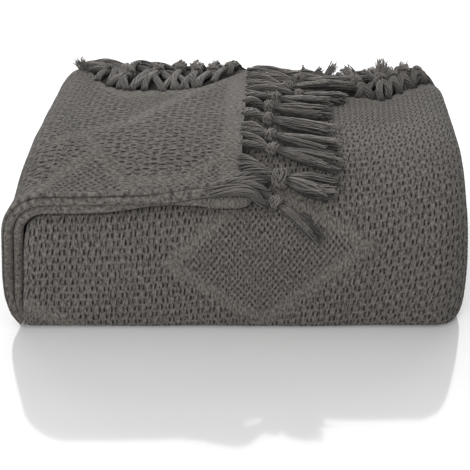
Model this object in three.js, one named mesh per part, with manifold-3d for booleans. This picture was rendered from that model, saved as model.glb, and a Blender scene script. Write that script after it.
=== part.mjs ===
// A waffle bedspread folded into a pack, with its knotted fringe.
// Millimetres, +Z up, the big front fold towards -Y, the pack's length along X.
//
// The cloth is one solid. Its body is one back-and-forth section of layers inside an outer wrap that covers the
// bottom, the front and the top. Its strip, four layers thick, leaves the bottom at the left end, comes up round
// that end and lies over the top, where its hem ends half way. Three runs of knotted fringe are solids of their own.

import * as THREE from 'three';
import { mergeVertices } from 'three/addons/utils/BufferGeometryUtils.js';
import Module from 'manifold-3d';

const wasm = await Module();
wasm.setup();

// Driving dimensions
const THICK = 2.8;             // one layer of the waffle cloth
const HEIGHT = 170;            // body of the pack, without the strip on its top
const DEPTH = 300;             // front bulge to the back folds
const LEFT_X = -203;           // body's left end
const RIGHT_X = 229;           // body's right end, at the front
const RIGHT_SAG = 5;           // the right end's lower half leans outwards by this
const LEFT_TAPER = 4;          // the left end is drawn in by this behind its front edge
const RIGHT_FLARE = 0.085;     // the right end runs outwards towards the back, per mm of depth
const LAYER_STEPS = 24;        // steps from the bottom layer to the top layer
const PLAN_RADIUS = 36;        // right front corner, seen from above
const TOP_RADIUS = 28;         // right end's upper edge
const FOOT_RADIUS = 23;        // right end's lower edge
const LEFT_RADIUS = 25;        // left end's upper edge, inside the strip
const LEFT_FOOT = 5;           // left end's lower edge
const LEFT_PLAN = 7;           // left front corner, seen from above
const WRAP_GAP = 1.2;          // between the wrap and the folds behind it
const STRIP_GAP = 1;           // between the body's top and the strip
const STRIP_SIDE = -205.4;     // inside of the strip on the left end
const STRIP_RADIUS = 25.5;     // inside of the strip's bend onto the top
const STRIP_BACK = 306;        // back folds of the strip
const SHOULDER_Y = 43;         // in front of this the strip bridges the body's rounded shoulder
const SHOULDER_Z = 143;
const SHOULDER_SLOPE = 0.447;
const STRIP_END = 4;           // hem end of the strip, in X, at the front
const STRIP_SLANT = 0.045;     // the hem end runs to the right towards the back, per mm of depth

// Side profile of the outer wrap, from the floor up the front fold and back over the top
const PROFILE = [
  { y: 20, z: 0 }, { y: 8.5, z: 0.8 }, { y: 3.6, z: 5 }, { y: 1.4, z: 16 }, { y: 0.3, z: 38 }, { y: 0, z: 70 },
  { y: 2, z: 98 }, { y: 8, z: 114 }, { y: 16, z: 123 }, { y: 27, z: 131 }, { y: 43, z: 142 }, { y: 60, z: 151 },
  { y: 82, z: 158.5 }, { y: 108, z: 164 }, { y: 148, z: 167.5 }, { y: 200, z: 169.5 }, { y: 300, z: 170 },
];
const CREST = PROFILE.slice(5);

// Back hem of the pack's top layer, pulled forward in the middle
const TOP_HEM = [
  { x: -203, y: 285 }, { x: -60, y: 268 }, { x: 121, y: 229 }, { x: 147, y: 214 }, { x: 165, y: 236 },
  { x: 187, y: 264 }, { x: 208, y: 288 }, { x: 229, y: 293 },
];

// Back hem of the strip's top layer, pulled forward in the middle too
const STRIP_HEM = [
  { x: -230, y: 313 }, { x: -186, y: 305 }, { x: -160, y: 246 }, { x: -134, y: 215 }, { x: -85, y: 206 },
  { x: -50, y: 213 }, { x: -30, y: 234 }, { x: -6, y: 274 }, { x: 18, y: 292 },
];

// The strip's way up the left end: place of its inside, and how far its outward direction points down
const STRIP_FOOT = [
  { x: -199.5, z: 13.6, tilt: 60, frontStep: 3.2, backStep: 3.2 },
  { x: -204, z: 24, tilt: 33, frontStep: 3.3, backStep: 3.2 },
  { x: -205.4, z: 38, tilt: 10, frontStep: 4.4, backStep: 3.2 },
  { x: -205.4, z: 54, tilt: 0, frontStep: 5.2, backStep: 3.2 },
];

// How far the left end of the pack has sagged outwards at each height
const LEFT_SAG = [{ z: 15, out: 9.5 }, { z: 38, out: 6.5 }, { z: 54, out: 4.6 }, { z: 104, out: 0 }];
const STRIP_TOP_X = [-160, -134, -85, -50, -30, -6];
const STRIP_LAYER = { frontStep: 4.7, backStep: 3.9 };      // spacing of its layers over the top

// Front edge of the strip's two rolled folds along its length, in X on the top
const STRIP_FRONT = [
  { x: -230, upper: 3, lower: 4 }, { x: -180, upper: 4, lower: 5 }, { x: -110, upper: 6, lower: 7 },
  { x: -66, upper: 9, lower: 16 }, { x: -38, upper: 12, lower: 9 }, { x: -8, upper: 14, lower: 8 },
  { x: 6, upper: 16, lower: 16 },
];

// Tassels: where on the hem their legs start, their knots, their ends, and their size beside the usual one
const SIDE_TASSELS = [
  { root: 27, knotX: 39, knotY: 17, endX: 76, endY: -5, endZ: 107, size: 0.9 },
  { root: 50, knotX: 44, knotY: 45, endX: 92, endY: 31, size: 1.3 },
  { root: 80, knotX: 38, knotY: 76, endX: 98, endY: 54, size: 1 },
  { root: 104, knotX: 36, knotY: 100, endX: 98, endY: 79, size: 1 },
  { root: 140, knotX: 35, knotY: 138, endX: 93, endY: 112, size: 1 },
  { root: 172, knotX: 37, knotY: 173, endX: 97, endY: 157, size: 1 },
  { root: 198, knotX: 46, knotY: 202, endX: 98, endY: 181, size: 1 },
  { root: 226, knotX: 72, knotY: 217, endX: 118, endY: 206, size: 0.9 },
  { root: 248, knotX: 60, knotY: 240, endX: 106, endY: 235, size: 0.9 },
  { root: 276, knotX: 73, knotY: 264, endX: 131, endY: 245, size: 1.1 },
];
const BACK_LEFT_TASSELS = [
  { root: -166, knotX: -152, knotY: 277, endX: -177, endY: 312, size: 1 },
  { root: -140, knotX: -123, knotY: 262, endX: -134, endY: 316, size: 1 },
  { root: -108, knotX: -90, knotY: 271, endX: -98, endY: 322, size: 1 },
  { root: -78, knotX: -65, knotY: 280, endX: -69, endY: 325, size: 0.9 },
  { root: -52, knotX: -45, knotY: 271, endX: -46, endY: 321, size: 1 },
  { root: -36, knotX: -26, knotY: 272, endX: -22, endY: 322, size: 1 },
  { root: -16, knotX: -7, knotY: 287, endX: 4, endY: 322, size: 0.9 },
];
const BACK_RIGHT_TASSELS = [
  { root: 134, knotX: 141, knotY: 252, endX: 130, endY: 305, size: 1 },
  { root: 153, knotX: 170, knotY: 262, endX: 160, endY: 316, size: 1.1 },
  { root: 167, knotX: 186, knotY: 277, endX: 183, endY: 318, size: 1 },
  { root: 180, knotX: 201, knotY: 289, endX: 205, endY: 322, size: 1.2 },
  { root: 196, knotX: 219, knotY: 296, endX: 226, endY: 326, size: 1 },
];
const KNOT = 7;                // radius of a knot
const LEG = 2.8;               // radius of the bundles that run from the hem to a knot
const LEG_SPREAD = 5;          // half the way between a tassel's two legs at the hem
const LOCK = 2.7;              // radius of a lock where it leaves the knot
const LOCK_END = 4.1;          // radius of a lock at its frayed end
const SPLAY = 5;               // how far the outer locks stand off the tassel's middle at the end
const LOCK_RISE = 5;           // how far the middle lock lies above the outer ones at the end
const BACKING = 3;             // width of the strip that a fringe is knotted through
const HEM_GAP = 0.6;           // between that strip and the hem
const LIE_GAP = 0.9;           // between a fringe and the cloth that it lies on
const DROOP = 0.5;             // fall of the fringe beyond the back, per mm
const UP = new THREE.Vector3(0, 0, 1);

const mix = (a, b, t) => a + (b - a) * t;
const limit = THREE.MathUtils.clamp;
const ease = (from, to, value) => {
  const share = limit((value - from) / (to - from), 0, 1);
  return share * share * (3 - 2 * share);
};
const radians = THREE.MathUtils.degToRad;

// Value in one column of a table, straight between its rows
function lookUp(rows, key, column, at) {
  const last = rows[rows.length - 1];
  if (at <= rows[0][key]) return rows[0][column];
  if (at >= last[key]) return last[column];
  const next = rows.findIndex((row) => row[key] >= at);
  const [low, high] = [rows[next - 1], rows[next]];
  return mix(low[column], high[column], (at - low[key]) / (high[key] - low[key]));
}

// How far a rounded edge has dropped: its radius at the very end, and nothing one radius inwards
function roundedDrop(radius, inwards) {
  const reach = limit(1 - inwards / radius, 0, 1);
  return radius * (1 - Math.sqrt(1 - reach * reach));
}

// What the rounded ends take off the section at a place along the pack
function endShape(x) {
  const [fromLeft, fromRight] = [x - LEFT_X, RIGHT_X - x];
  return {
    front: roundedDrop(PLAN_RADIUS, fromRight) + roundedDrop(LEFT_PLAN, fromLeft),
    top: roundedDrop(TOP_RADIUS, fromRight) + roundedDrop(LEFT_RADIUS, fromLeft),
    foot: roundedDrop(FOOT_RADIUS, fromRight) + roundedDrop(LEFT_FOOT, fromLeft),
  };
}

// The pack's sagging ends: a point that is worked out on straight ends, put where it really lies
function settle(point) {
  const [left, right] = [ease(-120, -200, point.x), ease(120, 228, point.x)];
  point.x += left * (LEFT_TAPER * ease(30, 100, point.y) - lookUp(LEFT_SAG, 'z', 'out', point.z));
  point.x += right * RIGHT_SAG * ease(125, 40, point.z);
  return point;
}

// A point of the body's section carried to its place along the pack
function bodyPoint(x, point) {
  const end = endShape(x);
  const back = point.y / DEPTH;
  const hemmed = point.hem * (lookUp(TOP_HEM, 'x', 'y', x) - DEPTH);
  const folds = 3 * point.inner * Math.sin(x / 55 + 2.1 * point.level) * back ** 6;
  const edge = point.inner * ease(30, 0, RIGHT_X - x) * (1.6 + 1.6 * Math.sin(2.3 * point.level));
  return settle(new THREE.Vector3(
    x + RIGHT_FLARE * point.y * Math.max(x / RIGHT_X, 0) - edge,
    mix(end.front, DEPTH, back) + hemmed + folds,
    end.foot + (point.z * (HEIGHT - end.top - end.foot)) / HEIGHT,
  ));
}

// Height of the body's top at a place
function bodyTop(x, y) {
  const along = x > 0 ? x / (1 + (RIGHT_FLARE * y) / RIGHT_X) : x;
  const end = endShape(along);
  const y0 = ((y - end.front) * DEPTH) / (DEPTH - end.front);
  return end.foot + (lookUp(CREST, 'y', 'z', y0) * (HEIGHT - end.top - end.foot)) / HEIGHT;
}

// Both sides of a line of cloth as one closed outline, which keeps the line's other values
function thicken(line) {
  const sides = [[], []];
  line.forEach((point, i) => {
    const steps = [[i - 1, i], [i, i + 1]].map(([from, to]) => {
      const [a, b] = [line[from] ?? point, line[to] ?? point];
      return new THREE.Vector2(b.y - a.y, b.z - a.z);
    });
    const [into, out] = steps.map((step, j) => (step.length() ? step : steps[1 - j]).clone().normalize());
    const across = new THREE.Vector2(-into.y - out.y, into.x + out.x).normalize();
    const half = THICK / 2 / Math.max(0.6, across.x * -into.y + across.y * into.x);
    [1, -1].forEach((sign, side) => {
      const reach = sign * half;
      sides[side].push({ ...point, y: point.y + across.x * reach, z: point.z + across.y * reach });
    });
  });
  return [...sides[0], ...sides[1].reverse()];
}

// A half turn from one layer to the next, bulging to the front (-1) or to the back (1)
function fold(y, fromZ, toZ, way, values) {
  const steps = 3;
  const points = [];
  for (let i = 0; i <= steps; i += 1) {
    const turn = (Math.PI * i) / steps;
    const bulge = (way * Math.abs(toZ - fromZ) * Math.sin(turn)) / 2;
    const share = (1 - Math.cos(turn)) / 2;
    points.push({ ...values, y: y + bulge, z: mix(fromZ, toZ, share), level: values.level + share });
  }
  return points;
}

// Height of a layer's middle inside the body
function layerZ(level, y) {
  return mix(THICK / 2, lookUp(CREST, 'y', 'z', y) - THICK / 2, level / LAYER_STEPS);
}

// Where the folds at the front of two layers turn, behind the wrap
function frontTurn(level) {
  let y = 12;
  for (let i = 0; i < 12; i += 1) {
    const radius = (layerZ(level + 1, y) - layerZ(level, y)) / 2;
    y = lookUp(PROFILE, 'z', 'y', layerZ(level + 0.5, y)) + THICK * 1.5 + WRAP_GAP + radius;
  }
  return y + 2 + 2 * Math.sin(1.3 * level);
}

// Middle line of the body's cloth: the top, the front and the bottom, then the folds inside
function bodyLine() {
  const wrap = { hem: 0, inner: 0, level: 0 };
  const line = PROFILE.map((row, i) => {
    const [low, high] = [PROFILE[Math.max(i - 1, 0)], PROFILE[Math.min(i + 1, PROFILE.length - 1)]];
    const along = new THREE.Vector2(high.y - low.y, high.z - low.z).normalize();
    const hem = limit((row.y - 148) / (DEPTH - 148), 0, 1);
    return { ...wrap, y: row.y + (along.y * THICK) / 2, z: row.z - (along.x * THICK) / 2 + (i ? 0 : THICK), hem };
  }).reverse();
  line[line.length - 1].z = THICK / 2;

  // Even layers run to the back and odd ones to the front, each turning into the next
  for (let level = 0; level < LAYER_STEPS; level += 1) {
    const values = { hem: 0, inner: 1, level };
    const forward = level % 2 === 1;
    const last = level + 1 === LAYER_STEPS;
    const start = forward ? frontTurn(Math.min(level, LAYER_STEPS - 2)) : frontTurn(level - 1);
    const y = forward ? start : DEPTH - 8 + 4 * Math.sin(1.7 * level);
    const bends = [[80], [60, 130], [60, 108, 170], [60, 108, 170]][Math.floor((4 * level) / LAYER_STEPS)];
    const course = bends.filter((bend) => bend > start + 6);
    if (forward) course.reverse();
    if (level > 0) course.forEach((bend) => line.push({ ...values, y: bend, z: layerZ(level, bend) }));
    if (last) line.push({ ...values, y, z: layerZ(level, y) });
    else line.push(...fold(y, layerZ(level, y), layerZ(level + 1, y), forward ? -1 : 1, values));
  }
  return line;
}

// Inside of the strip over the body: it rests on the top and bridges the shoulder at the front
function stripFloor(x, y) {
  const rest = bodyTop(limit(x, LEFT_X + LEFT_RADIUS, RIGHT_X), y) + STRIP_GAP;
  return Math.max(rest, SHOULDER_Z - SHOULDER_SLOPE * (SHOULDER_Y - Math.min(y, SHOULDER_Y)));
}

// A point of the strip: its place along the strip, its depth, and its height above the inside
function stripPoint(place, point) {
  const { y, z: out } = point;
  const centre = new THREE.Vector3(STRIP_SIDE + STRIP_RADIUS, y, stripFloor(STRIP_SIDE, y) - STRIP_RADIUS);
  if (place.turn !== undefined) {
    const reach = STRIP_RADIUS + out;
    return settle(centre.add(new THREE.Vector3(-reach * Math.cos(place.turn), 0, reach * Math.sin(place.turn))));
  }
  if (place.rise !== undefined) {
    const z = mix(place.z, centre.z, place.rise);
    const tilt = radians(place.tilt * (1 - place.rise));
    return settle(new THREE.Vector3(place.x - out * Math.cos(tilt), y, z - out * Math.sin(tilt)));
  }
  const x = place.x + (place.last ? STRIP_SLANT * y : 0);
  return settle(new THREE.Vector3(x, y, stripFloor(x, y) + out));
}

// Step from layer to layer: looser at the rolled front edge than behind it
const stripStep = (place, y) => mix(place.frontStep, place.backStep, ease(12, 45, y));

// Middle line of the strip's four layers at one place, from its inside to its hemmed top layer
function stripLine(place) {
  const front = (column) => lookUp(STRIP_FRONT, 'x', column, place.x);
  const bends = CREST.map((row) => row.y).filter((y) => y >= SHOULDER_Y && y < STRIP_BACK - 10);
  const layer = (level, y) => ({ y, z: THICK / 2 + level * stripStep(place, y) });
  const turn = (y, level, way) => {
    const [from, to] = [layer(level, y), layer(level + 1, y)];
    return fold(y, from.z, to.z, way, { level });
  };
  const inset = THICK / 2 + place.frontStep / 2;
  return [
    layer(0, STRIP_BACK - 4),
    ...bends.toReversed().map((y) => layer(0, y)),
    ...turn(front('lower') + inset, 0, -1),
    ...bends.map((y) => layer(1, y)),
    ...turn(STRIP_BACK - inset, 1, 1),
    ...bends.toReversed().map((y) => layer(2, y)),
    ...turn(front('upper') + inset, 2, -1),
    ...bends.map((y) => layer(3, y)),
    layer(3, lookUp(STRIP_HEM, 'x', 'y', place.x)),
  ];
}

// Places along the strip: up the left end, round the bend, over the top to the hem
function stripPlaces() {
  const top = STRIP_LAYER;
  const side = STRIP_FOOT[STRIP_FOOT.length - 1];
  const places = STRIP_FOOT.map((row) => ({ ...row, rise: 0 }));
  [0.5].forEach((rise) => places.push({ ...side, rise, frontStep: 5.4 }));
  for (let turn = 0; turn <= 90; turn += 18) {
    const share = turn / 90;
    const x = STRIP_SIDE + (STRIP_RADIUS + 12) * (1 - Math.cos(radians(turn))) - 12;
    places.push({
      turn: radians(turn), x, frontStep: mix(5.4, top.frontStep, share), backStep: mix(3.2, top.backStep, share),
    });
  }
  STRIP_TOP_X.forEach((x) => places.push({ ...top, x }));
  places.push({ ...top, x: STRIP_END, last: true });
  return places;
}

// A ring of points seen from the pack's end
const sideOn = (ring) => ring.map((point) => new THREE.Vector2(point.y, point.z));

// A closed body through rings of matching points, its ends filled by flat copies of the first and last ring
function loft(rings, firstFlat, lastFlat = firstFlat) {
  const count = rings[0].length;
  const positions = rings.flat().flatMap((point) => [point.x, point.y, point.z]);
  const faces = [];
  for (let i = 0; i + 1 < rings.length; i += 1) {
    for (let j = 0; j < count; j += 1) {
      const next = (j + 1) % count;
      const [a, b, c, d] = [i * count + j, i * count + next, (i + 1) * count + next, (i + 1) * count + j];
      faces.push(a, b, c, a, c, d);
    }
  }
  const last = (rings.length - 1) * count;
  const clockwise = THREE.ShapeUtils.isClockWise(firstFlat);
  THREE.ShapeUtils.triangulateShape(firstFlat, []).forEach((face) => {
    faces.push(...(clockwise ? face : face.toReversed()));
  });
  THREE.ShapeUtils.triangulateShape(lastFlat, []).forEach((face) => {
    faces.push(...(clockwise ? face.toReversed() : face).map((corner) => last + corner));
  });
  const geometry = new THREE.BufferGeometry();
  geometry.setAttribute('position', new THREE.Float32BufferAttribute(positions, 3));
  geometry.setIndex(faces);
  return geometry;
}

// A closed geometry as a solid, turned the right way out
function toSolid(geometry) {
  const merged = mergeVertices(geometry, 1e-4);
  const index = Uint32Array.from(merged.index.array);
  const position = merged.attributes.position.array;
  let volume = 0;
  const corner = [new THREE.Vector3(), new THREE.Vector3(), new THREE.Vector3()];
  for (let i = 0; i < index.length; i += 3) {
    corner.forEach((point, j) => point.fromArray(position, 3 * index[i + j]));
    volume += corner[0].dot(corner[1].clone().cross(corner[2]));
  }
  if (volume < 0) {
    for (let i = 0; i < index.length; i += 3) [index[i], index[i + 1]] = [index[i + 1], index[i]];
  }
  return new wasm.Manifold(new wasm.Mesh({ numProp: 3, vertProperties: position, triVerts: index }));
}

// A solid back as a geometry
function toGeometry(solid) {
  const { vertProperties, triVerts } = solid.getMesh();
  const geometry = new THREE.BufferGeometry();
  geometry.setAttribute('position', new THREE.Float32BufferAttribute(vertProperties, 3));
  geometry.setIndex(new THREE.Uint32BufferAttribute(triVerts, 1));
  return geometry;
}

// The body: its section carried along the pack, with closer places where the ends are rounded
function makeBody() {
  const outline = thicken(bodyLine());
  const places = [LEFT_X, LEFT_X + 5, LEFT_X + 14, -60, 121, 147, 165, 187];
  [25, 47, 67, 82].forEach((turn) => {
    places.push(RIGHT_X - PLAN_RADIUS * (1 - Math.sin(radians(turn))));
  });
  const rings = places.map((x) => outline.map((point) => bodyPoint(x, point)));
  return loft(rings, sideOn(rings[0]), sideOn(rings[rings.length - 1]));
}

// The strip: its section of four layers carried along its path
function makeStrip() {
  const places = stripPlaces();
  const outlines = places.map((place) => thicken(stripLine(place)));
  const rings = places.map((place, i) => outlines[i].map((point) => stripPoint(place, point)));
  const foot = outlines[0].map((point) => new THREE.Vector2(point.y, point.z));
  return loft(rings, foot, sideOn(rings[rings.length - 1]));
}

// The union of solids as one closed solid, any tiny gap that the join seals off filled in
function join(solids) {
  const pieces = wasm.Manifold.union(solids).decompose().filter((piece) => piece.volume() > 0);
  if (pieces.length > 1) throw new Error('a piece stands apart');
  return pieces[0];
}

// A tapering strand of a few sides through the points of a path, one radius for each
function strand(path, radii, sides = 3) {
  const rings = path.map((point, i) => {
    const along = (path[i + 1] ?? point).clone().sub(path[i - 1] ?? point).normalize();
    const aside = along.clone().cross(UP).normalize();
    const above = aside.clone().cross(along);
    return Array.from({ length: sides }, (_, k) => {
      const turn = (2 * Math.PI * k) / sides + Math.PI / 2;
      const [u, v] = [radii[i] * Math.cos(turn), radii[i] * Math.sin(turn)];
      return point.clone().addScaledVector(aside, u).addScaledVector(above, v);
    });
  });
  const flat = rings[0].map((_, k) => {
    const turn = (2 * Math.PI * k) / sides;
    return new THREE.Vector2(Math.cos(turn), Math.sin(turn));
  });
  return toSolid(loft(rings, flat));
}

// Height of a ball's middle when it rests on the ground that a fringe lies on
function restZ(ground, x, y, radius) {
  let z = -Infinity;
  for (let share = -0.9; share <= 0.9; share += 0.3) {
    const there = ground(x, y + share * radius);
    z = Math.max(z, there + radius * Math.sqrt(1 - share * share));
  }
  return z + LIE_GAP;
}

// The strip of cloth that a fringe is knotted through, just off the hem, along the hem's points
function backing(hem) {
  const corners = [[0, 0.5], [1, 0.5], [1, -0.5], [0, -0.5]].map(([x, y]) => new THREE.Vector2(x, y));
  const rings = hem.map((point, i) => {
    const along = (hem[i + 1] ?? point).clone().sub(hem[i - 1] ?? point).setZ(0).normalize();
    const outwards = along.cross(UP).negate();
    return corners.map((corner) => {
      const away = HEM_GAP + corner.x * BACKING;
      return point.clone().addScaledVector(outwards, away).setZ(point.z + corner.y * THICK);
    });
  });
  return toSolid(loft(rings, corners));
}

// One tassel: two legs from the hem, a knot that draws them together, and a frayed end of three locks
function tassel(row, hemAt, ground) {
  const knot = new THREE.Vector3(row.knotX, row.knotY, restZ(ground, row.knotX, row.knotY, KNOT * row.size));
  const endZ = row.endZ ?? restZ(ground, row.endX, row.endY, LOCK_END);
  const end = new THREE.Vector3(row.endX, row.endY, endZ);
  const way = end.clone().sub(knot).normalize();
  const aside = way.clone().cross(UP).normalize();
  const solids = [-1, 1].map((side) => strand([hemAt(row.root + side * LEG_SPREAD), knot], [LEG, LEG]));
  const core = [-1, 0, 1].map((step) => knot.clone().addScaledVector(way, step * KNOT * row.size));
  solids.push(strand(core, [0.5, 1, 0.6].map((share) => share * KNOT * row.size), 5));
  for (const side of [-1, 0, 1]) {
    const path = [0.03, 0.55, 1 - 0.06 * Math.abs(side)].map((share) => {
      const spread = side * row.size * share * SPLAY;
      const point = knot.clone().lerp(end, share).addScaledVector(aside, spread);
      const hangs = share > 0.9 && row.endZ !== undefined;
      if (!hangs) point.setZ(Math.max(point.z, restZ(ground, point.x, point.y, LOCK_END)));
      return point.setZ(point.z + (1 - Math.abs(side)) * share * LOCK_RISE);
    });
    solids.push(strand(path, [LOCK, LOCK, LOCK_END]));
  }
  return solids;
}

// A run of tassels with their backing as one solid, in which hemAt gives a place on the hem
function fringe(rows, hemStops, hemPoint, ground) {
  const hem = hemStops.map(hemPoint);
  const hemAt = (stop) => {
    const [at, near] = [hemPoint(stop), hemPoint(stop + Math.sign(hemStops[1] - hemStops[0]))];
    const outwards = near.clone().sub(at).setZ(0).normalize().cross(UP).negate();
    return at.addScaledVector(outwards, HEM_GAP + 0.7 * BACKING);
  };
  return join([backing(hem), ...rows.flatMap((row) => tassel(row, hemAt, ground))]);
}

// Hem lines, walked so that the outside is on the left hand, and the ground beyond each
const topLayerZ = (x, y) => stripFloor(x, y) + THICK / 2 + 3 * stripStep(STRIP_LAYER, y);
function sideHem(y) {
  const x = STRIP_END + STRIP_SLANT * y;
  return new THREE.Vector3(x, y, topLayerZ(x, y));
}
function backLeftHem(x) {
  const y = lookUp(STRIP_HEM, 'x', 'y', x);
  return settle(new THREE.Vector3(x, y, topLayerZ(x, y)));
}
function backRightHem(x) {
  const flared = x * (1 + (RIGHT_FLARE * DEPTH) / RIGHT_X);
  return new THREE.Vector3(flared, lookUp(TOP_HEM, 'x', 'y', x), HEIGHT - THICK / 2);
}
const droop = (y, edge) => DROOP * Math.max(y - edge, 0);
const onStrip = (x, y) => {
  const lowerLayers = THICK + 2 * STRIP_LAYER.backStep;
  return stripFloor(x, Math.min(y, DEPTH)) + lowerLayers - droop(y, STRIP_BACK);
};
const onBack = (x, y) => bodyTop(Math.min(x, RIGHT_X), Math.min(y, DEPTH)) + 3 - droop(y, DEPTH);

const bedspread = new THREE.Group();

const solids = {
  cloth: join([toSolid(makeBody()), toSolid(makeStrip())]),
  fringe_side: fringe(SIDE_TASSELS, [286, 200, 148, 108, 82, 60, 43, 22], sideHem, bodyTop),
  fringe_back_left: fringe(BACK_LEFT_TASSELS, [-176, -160, -134, -85, -50, -30, -10], backLeftHem, onStrip),
  fringe_back_right: fringe(BACK_RIGHT_TASSELS, [124, 147, 165, 187, 206], backRightHem, onBack),
};
for (const [name, solid] of Object.entries(solids)) {
  const material = new THREE.MeshStandardMaterial({ color: 0x56524d, roughness: 0.95, metalness: 0 });
  const piece = new THREE.Mesh(toGeometry(solid), material);
  piece.name = name;
  bedspread.add(piece);
}

// The origin goes to the middle of the underside of the whole
const box = new THREE.Box3().setFromObject(bedspread);
const middle = box.getCenter(new THREE.Vector3());
bedspread.children.forEach((piece) => piece.geometry.translate(-middle.x, -middle.y, -box.min.z));

export default bedspread;
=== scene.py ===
"""A waffle bedspread folded into a pack, with its knotted fringe, on a pale floor in soft studio light.

The cloth is one mesh of fine grids swept along the same sections as the solids, and the weave is a procedural
pattern on its UV map. Each run of fringe is one mesh of yarns: legs, knots, frayed tails, ropes and tufts.
"""

import math

import bmesh
import bpy
import numpy as np
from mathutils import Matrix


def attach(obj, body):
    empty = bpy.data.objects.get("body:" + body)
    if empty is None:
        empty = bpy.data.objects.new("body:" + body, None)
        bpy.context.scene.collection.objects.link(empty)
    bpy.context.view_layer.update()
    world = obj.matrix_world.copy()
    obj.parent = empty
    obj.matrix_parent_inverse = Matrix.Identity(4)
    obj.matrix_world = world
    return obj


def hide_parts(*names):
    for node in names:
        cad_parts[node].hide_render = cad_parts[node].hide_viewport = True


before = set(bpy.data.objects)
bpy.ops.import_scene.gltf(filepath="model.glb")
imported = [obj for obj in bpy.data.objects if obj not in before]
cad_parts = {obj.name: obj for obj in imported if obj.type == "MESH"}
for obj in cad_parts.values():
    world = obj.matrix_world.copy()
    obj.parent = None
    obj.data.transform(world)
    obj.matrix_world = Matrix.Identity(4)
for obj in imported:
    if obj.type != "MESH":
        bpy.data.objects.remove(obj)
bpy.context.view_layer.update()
scene = bpy.context.scene

# Sizes are in millimetres from the foot of the front fold, with X from the picture's middle
MM = 0.001
CENTRE = np.array([15.224, 158.876, 0.0])  # the frame's origin in those numbers

# The body of the pack
THICK = 2.8  # one layer of the cloth
HEIGHT, DEPTH = 170.0, 300.0
LEFT_X, RIGHT_X = -203.0, 229.0
RIGHT_FLARE, RIGHT_SAG, LEFT_TAPER = 0.085, 5.0, 4.0
LEFT_END, RIGHT_END = (-120, -200), (120, 228)  # between these places the sag of the ends sets in
TAPER_DEPTHS, SAG_HEIGHTS = (30, 100), (125, 40)
PLAN_RADIUS, TOP_RADIUS, FOOT_RADIUS = 36.0, 28.0, 23.0  # rounding of the right end
LEFT_PLAN, LEFT_RADIUS, LEFT_FOOT = 7.0, 25.0, 5.0  # and of the left one
FULLEST_Z = 70  # height at which the front fold reaches furthest forwards
LAYER_STEPS = 24  # from the bottom layer to the top one
LAYER_STOPS = np.array([60, 84, 108, 138, 170, 215, 255.0])  # depths of the points on an inner layer
WRAP_GAP = 1.2  # between the wrap and the folds in it
FOLD_WANDER, EDGE_WANDER = 3.0, 1.6  # unevenness of the inner layers' back folds and right ends
FRONT_WANDER, BACK_WANDER = 2.0, 4.0  # and of their turns
HEM_DEPTH = 148.0  # behind this the wrap's top is drawn in to its curved hem

# The strip that comes up the left end and lies on the top
STRIP_GAP, STRIP_SIDE, STRIP_RADIUS, STRIP_BACK = 1.0, -205.4, 25.5, 306.0
TOP_STEP, SIDE_STEP = 3.9, 3.2  # spacing of its layers behind the rolls, on the top and up the end
ROLL_STEP = 4.7  # mean spacing of the layers in the rolls, at their left
SIDE_SHARE = 1.12  # height of the rolls up the end, beside that on the top
BEND_LOSS = 0.119 / 1.571  # what each radian of the bend takes off that
STRIP_END, STRIP_SLANT = 4.0, 0.045
SHOULDER_Y, SHOULDER_Z, SHOULDER_SLOPE = 43.0, 143.0, 0.447
FRONT_STOPS = np.r_[np.arange(0, 16, 0.8), 17, 18.5, 20.5, 23]  # points behind a front fold
PATH_POINT = -30  # the point of a section at which its way along the strip is measured
CREASE_DEPTH, CREASE_SWELL, CREASE_REACH = 3.4, 1.3, 4

# Weave and grids
CELL_ACROSS, CELL_ALONG = 11.4, 16.0  # one waffle cell
STRIP_CELL = 0.9  # the strip's cells are wider than the body's by one over this
STRIP_TURN = math.radians(4)  # of its weave
GRID, INNER_GRID = 5.0, 18.0  # spacing of the cloth's grid where it shows, and inside the pack
BAND_EDGE = (9, 4)  # a plain band fades out between these distances from its middle line
BODY_HEM_EDGE, STRIP_HEM_EDGE, STRIP_END_EDGE = (26, 20), (16, 11), (26, 21)  # and plain hems
# Painted shade: on hidden layers behind the hems, along the crease, towards the right and the left end, and
# all over the strip
HIDDEN_SHADE, CREASE_SHADE, RIGHT_SHADE, LEFT_SHADE, STRIP_SHADE = 0.88, 0.85, 0.12, 0.11, 0.045
ROLL_PLAINNESS = 0.85

# Side profile of the outer wrap (y, z), from the floor up the front fold and back over the top
PROFILE = [
    (20, 0), (8.5, 0.8), (3.6, 5), (1.4, 16), (0.3, 38), (0, 70), (2, 98), (8, 114), (16, 123), (27, 131),
    (43, 142), (60, 151), (82, 158.5), (108, 164), (148, 167.5), (200, 169.5), (300, 170),
]
FLOOR_STOPS = np.arange(26.0, 152.0, 14.0)  # depths of the wrap's points under the pack

# Back hem of the pack's top layer, and of the strip's top layer (x, y)
TOP_HEM_POINTS = [
    (-203, 285), (-60, 268), (121, 229), (147, 214), (165, 236), (187, 264), (208, 288), (229, 293),
]
STRIP_HEM_POINTS = [
    (-230, 313), (-186, 305), (-160, 246), (-134, 215), (-85, 206), (-50, 213), (-30, 234), (-6, 274),
    (18, 292),
]

# How far the left end leans in above its foot (z, x)
LEFT_SAG = [(15, 9.5), (38, 6.5), (54, 4.6), (104, 0)]

# The strip's way up the left end (z, x, tilt, spacing of its layers at the front)
STRIP_FOOT = [(13.6, -199.5, 60, 3.2), (24, -204, 33, 3.3), (38, -205.4, 10, 4.4), (54, -205.4, 0, 5.2)]

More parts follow.
